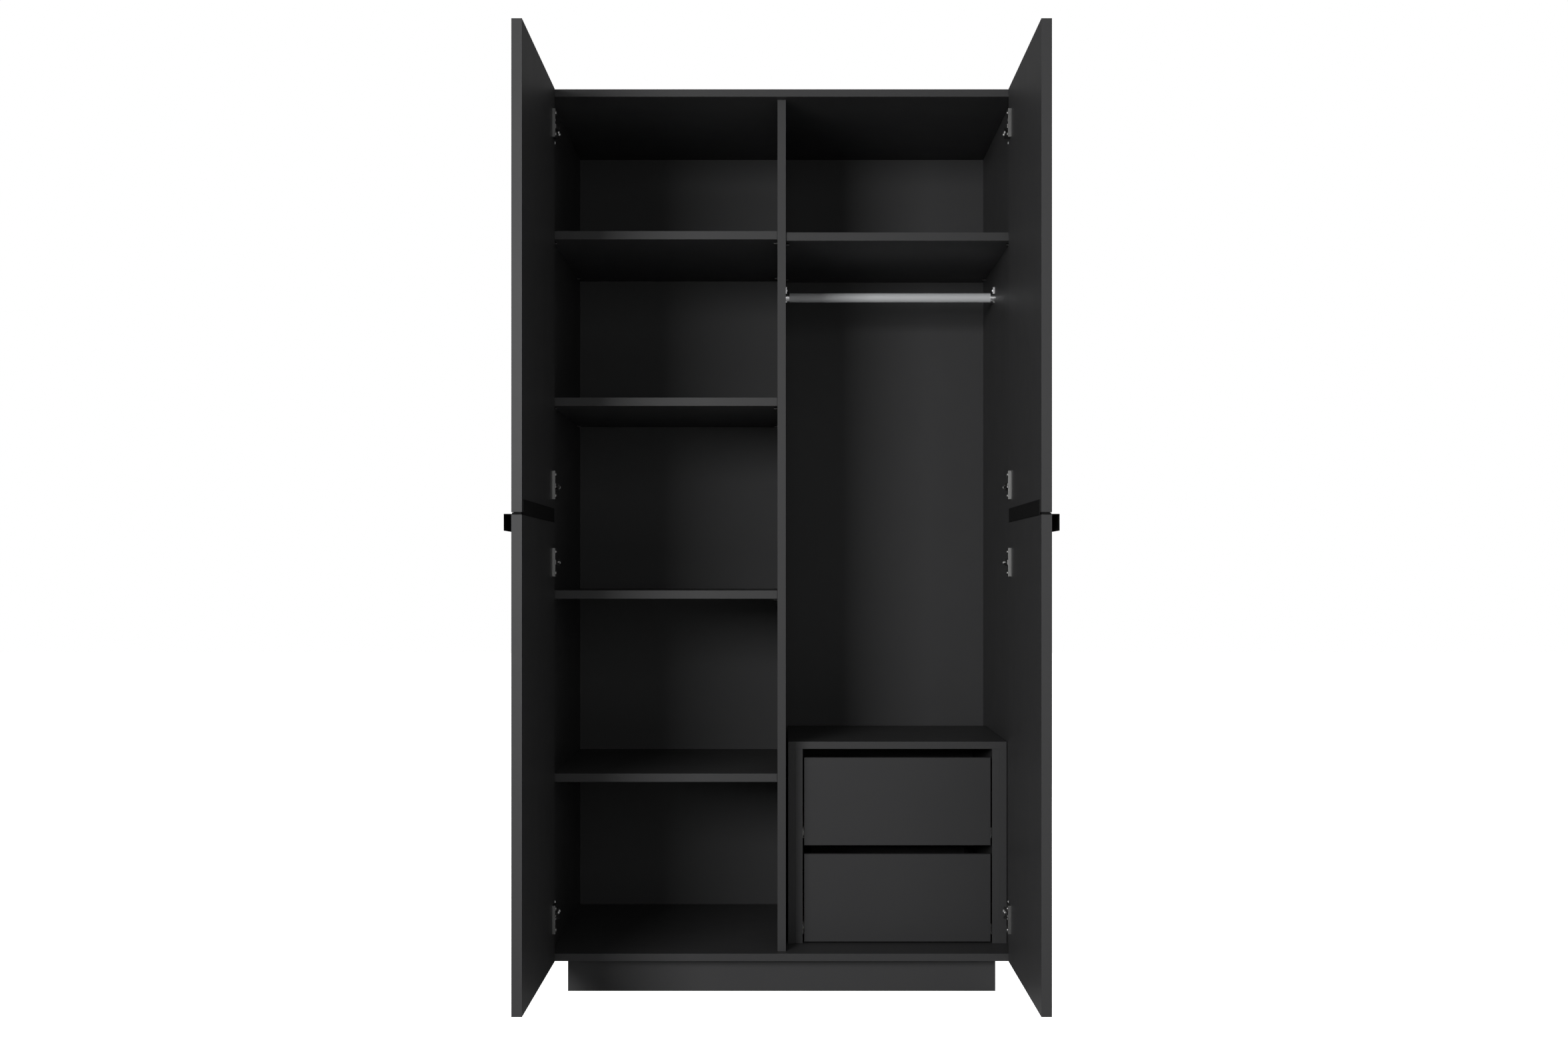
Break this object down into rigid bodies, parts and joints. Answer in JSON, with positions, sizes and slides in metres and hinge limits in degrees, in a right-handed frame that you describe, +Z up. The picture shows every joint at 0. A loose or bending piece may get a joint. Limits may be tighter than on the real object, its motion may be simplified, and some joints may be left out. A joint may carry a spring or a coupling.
{
  "type": "wardrobe with doors",
  "caption": "Tall free-standing wardrobe with paired upper and lower hinged doors, open shelves, a hanging rail and a small drawer insert, stored with its doors open.",
  "frame": {"origin": "on the floor, in the middle of the carcass footprint", "axes": "+X to the right seen from the front, +Y from the open front to the back, +Z up"},
  "size_m": [1.0436, 1.137, 1.95],
  "materials": {
    "melamine": "matt graphite melamine on particle board",
    "door_melamine": "matt graphite melamine",
    "plinth_melamine": "matt graphite melamine",
    "fibreboard": "matt dark fibreboard",
    "beech": "plain beech",
    "nickel_steel": "nickel plated",
    "runner_steel": "white lacquered steel",
    "chrome_rail": "chrome plated steel tube",
    "black_strip": "matt black lacquer",
    "roller_plastic": "moulded nylon"
  },
  "bodies": {
    "carcass": {"top_panel": "melamine", "bottom_panel": "melamine", "left_side_panel": "melamine", "right_side_panel": "melamine", "centre_partition": "melamine", "back_panel": "fibreboard", "carcass_dowels": "beech", "left_shelf_1": "melamine", "left_shelf_2": "melamine", "left_shelf_3": "melamine", "left_shelf_4": "melamine", "right_shelf": "melamine", "shelf_pins": "nickel_steel", "hanging_rail": "chrome_rail", "rail_brackets": "chrome_rail", "plinth_front": "plinth_melamine", "plinth_back": "plinth_melamine", "plinth_side_rails": "plinth_melamine", "plinth_cross_rail": "plinth_melamine", "hinge_plates": "nickel_steel", "hinge_arms": "nickel_steel", "hinge_screws": "nickel_steel", "insert_top": "melamine", "insert_left_side": "melamine", "insert_right_side": "melamine", "insert_fillers": "melamine", "insert_back_rails": "melamine", "fixed_runners": "runner_steel"},
    "main_links_lower_left": {"main_links_lower_left": "nickel_steel"},
    "short_links_lower_left": {"short_links_lower_left": "nickel_steel"},
    "door_lower_left": {"door_lower_left": "door_melamine", "hinge_cups_lower_left": "nickel_steel", "handle_strip_left": "black_strip"},
    "main_links_lower_right": {"main_links_lower_right": "nickel_steel"},
    "short_links_lower_right": {"short_links_lower_right": "nickel_steel"},
    "door_lower_right": {"door_lower_right": "door_melamine", "hinge_cups_lower_right": "nickel_steel", "handle_strip_right": "black_strip"},
    "main_links_upper_left": {"main_links_upper_left": "nickel_steel"},
    "short_links_upper_left": {"short_links_upper_left": "nickel_steel"},
    "door_upper_left": {"door_upper_left": "door_melamine", "hinge_cups_upper_left": "nickel_steel"},
    "main_links_upper_right": {"main_links_upper_right": "nickel_steel"},
    "short_links_upper_right": {"short_links_upper_right": "nickel_steel"},
    "door_upper_right": {"door_upper_right": "door_melamine", "hinge_cups_upper_right": "nickel_steel"},
    "drawer_upper": {"drawer_front_upper": "melamine", "drawer_sides_upper": "melamine", "drawer_back_upper": "melamine", "drawer_bottom_upper": "fibreboard", "drawer_runners_upper": "runner_steel"},
    "front_rollers_upper": {"front_rollers_upper": "roller_plastic"},
    "rear_rollers_upper": {"rear_rollers_upper": "roller_plastic"},
    "drawer_lower": {"drawer_front_lower": "melamine", "drawer_sides_lower": "melamine", "drawer_back_lower": "melamine", "drawer_bottom_lower": "fibreboard", "drawer_runners_lower": "runner_steel"},
    "front_rollers_lower": {"front_rollers_lower": "roller_plastic"},
    "rear_rollers_lower": {"rear_rollers_lower": "roller_plastic"}
  },
  "joints": [
    {"name": "main_link_turn_lower_left", "type": "hinge", "parent": "carcass", "child": "main_links_lower_left", "pos_m": [-0.4864, -0.2872, 0.54675], "axis": [0, 0, 1], "range_deg": [-31.52, 3.52]},
    {"name": "door_lower_left_turn", "type": "hinge", "parent": "main_links_lower_left", "child": "door_lower_left", "pos_m": [-0.48987, -0.32134, 0.54675], "axis": [0, 0, -1], "range_deg": [-121.5, 13.5]},
    {"name": "short_link_turn_lower_left", "type": "hinge", "parent": "carcass", "child": "short_links_lower_left", "pos_m": [-0.4929, -0.308, 0.54675], "axis": [0, 0, 1], "range_deg": [-55.82, 6.22]},
    {"name": "main_link_turn_upper_left", "type": "hinge", "parent": "carcass", "child": "main_links_upper_left", "pos_m": [-0.4864, -0.2872, 1.4865], "axis": [0, 0, 1], "range_deg": [-31.52, 3.52]},
    {"name": "door_upper_left_turn", "type": "hinge", "parent": "main_links_upper_left", "child": "door_upper_left", "pos_m": [-0.48987, -0.32134, 1.4865], "axis": [0, 0, -1], "range_deg": [-121.5, 13.5]},
    {"name": "short_link_turn_upper_left", "type": "hinge", "parent": "carcass", "child": "short_links_upper_left", "pos_m": [-0.4929, -0.308, 1.4865], "axis": [0, 0, 1], "range_deg": [-55.82, 6.22]},
    {"name": "main_link_turn_lower_right", "type": "hinge", "parent": "carcass", "child": "main_links_lower_right", "pos_m": [0.4864, -0.2872, 0.54675], "axis": [0, 0, -1], "range_deg": [-31.52, 3.52]},
    {"name": "door_lower_right_turn", "type": "hinge", "parent": "main_links_lower_right", "child": "door_lower_right", "pos_m": [0.48987, -0.32134, 0.54675], "axis": [0, 0, 1], "range_deg": [-121.5, 13.5]},
    {"name": "short_link_turn_lower_right", "type": "hinge", "parent": "carcass", "child": "short_links_lower_right", "pos_m": [0.4929, -0.308, 0.54675], "axis": [0, 0, -1], "range_deg": [-55.82, 6.22]},
    {"name": "main_link_turn_upper_right", "type": "hinge", "parent": "carcass", "child": "main_links_upper_right", "pos_m": [0.4864, -0.2872, 1.4865], "axis": [0, 0, -1], "range_deg": [-31.52, 3.52]},
    {"name": "door_upper_right_turn", "type": "hinge", "parent": "main_links_upper_right", "child": "door_upper_right", "pos_m": [0.48987, -0.32134, 1.4865], "axis": [0, 0, 1], "range_deg": [-121.5, 13.5]},
    {"name": "short_link_turn_upper_right", "type": "hinge", "parent": "carcass", "child": "short_links_upper_right", "pos_m": [0.4929, -0.308, 1.4865], "axis": [0, 0, -1], "range_deg": [-55.82, 6.22]},
    {"name": "drawer_lower_slide", "type": "slide", "parent": "carcass", "child": "drawer_lower", "axis": [0, -1, 0], "range_m": [0, 0.3]},
    {"name": "front_rollers_lower_spin", "type": "hinge", "parent": "carcass", "child": "front_rollers_lower", "pos_m": [0.256, -0.167, 0.1219], "axis": [1, 0, 0], "continuous": true},
    {"name": "rear_rollers_lower_spin", "type": "hinge", "parent": "drawer_lower", "child": "rear_rollers_lower", "pos_m": [0.256, 0.194, 0.1194], "axis": [1, 0, 0], "continuous": true},
    {"name": "drawer_upper_slide", "type": "slide", "parent": "carcass", "child": "drawer_upper", "axis": [0, -1, 0], "range_m": [0, 0.3]},
    {"name": "front_rollers_upper_spin", "type": "hinge", "parent": "carcass", "child": "front_rollers_upper", "pos_m": [0.256, -0.167, 0.33505], "axis": [1, 0, 0], "continuous": true},
    {"name": "rear_rollers_upper_spin", "type": "hinge", "parent": "drawer_upper", "child": "rear_rollers_upper", "pos_m": [0.256, 0.194, 0.33255], "axis": [1, 0, 0], "continuous": true}
  ],
  "couplings": [
    {"joint": "main_link_turn_lower_left", "follows": "door_lower_left_turn", "ratio": 0.25926},
    {"joint": "short_link_turn_lower_left", "follows": "door_lower_left_turn", "ratio": 0.45926},
    {"joint": "door_upper_left_turn", "follows": "door_lower_left_turn", "ratio": 1},
    {"joint": "main_link_turn_upper_left", "follows": "door_lower_left_turn", "ratio": 0.25926},
    {"joint": "short_link_turn_upper_left", "follows": "door_lower_left_turn", "ratio": 0.45926},
    {"joint": "main_link_turn_lower_right", "follows": "door_lower_right_turn", "ratio": 0.25926},
    {"joint": "short_link_turn_lower_right", "follows": "door_lower_right_turn", "ratio": 0.45926},
    {"joint": "door_upper_right_turn", "follows": "door_lower_right_turn", "ratio": 1},
    {"joint": "main_link_turn_upper_right", "follows": "door_lower_right_turn", "ratio": 0.25926},
    {"joint": "short_link_turn_upper_right", "follows": "door_lower_right_turn", "ratio": 0.45926}
  ]
}
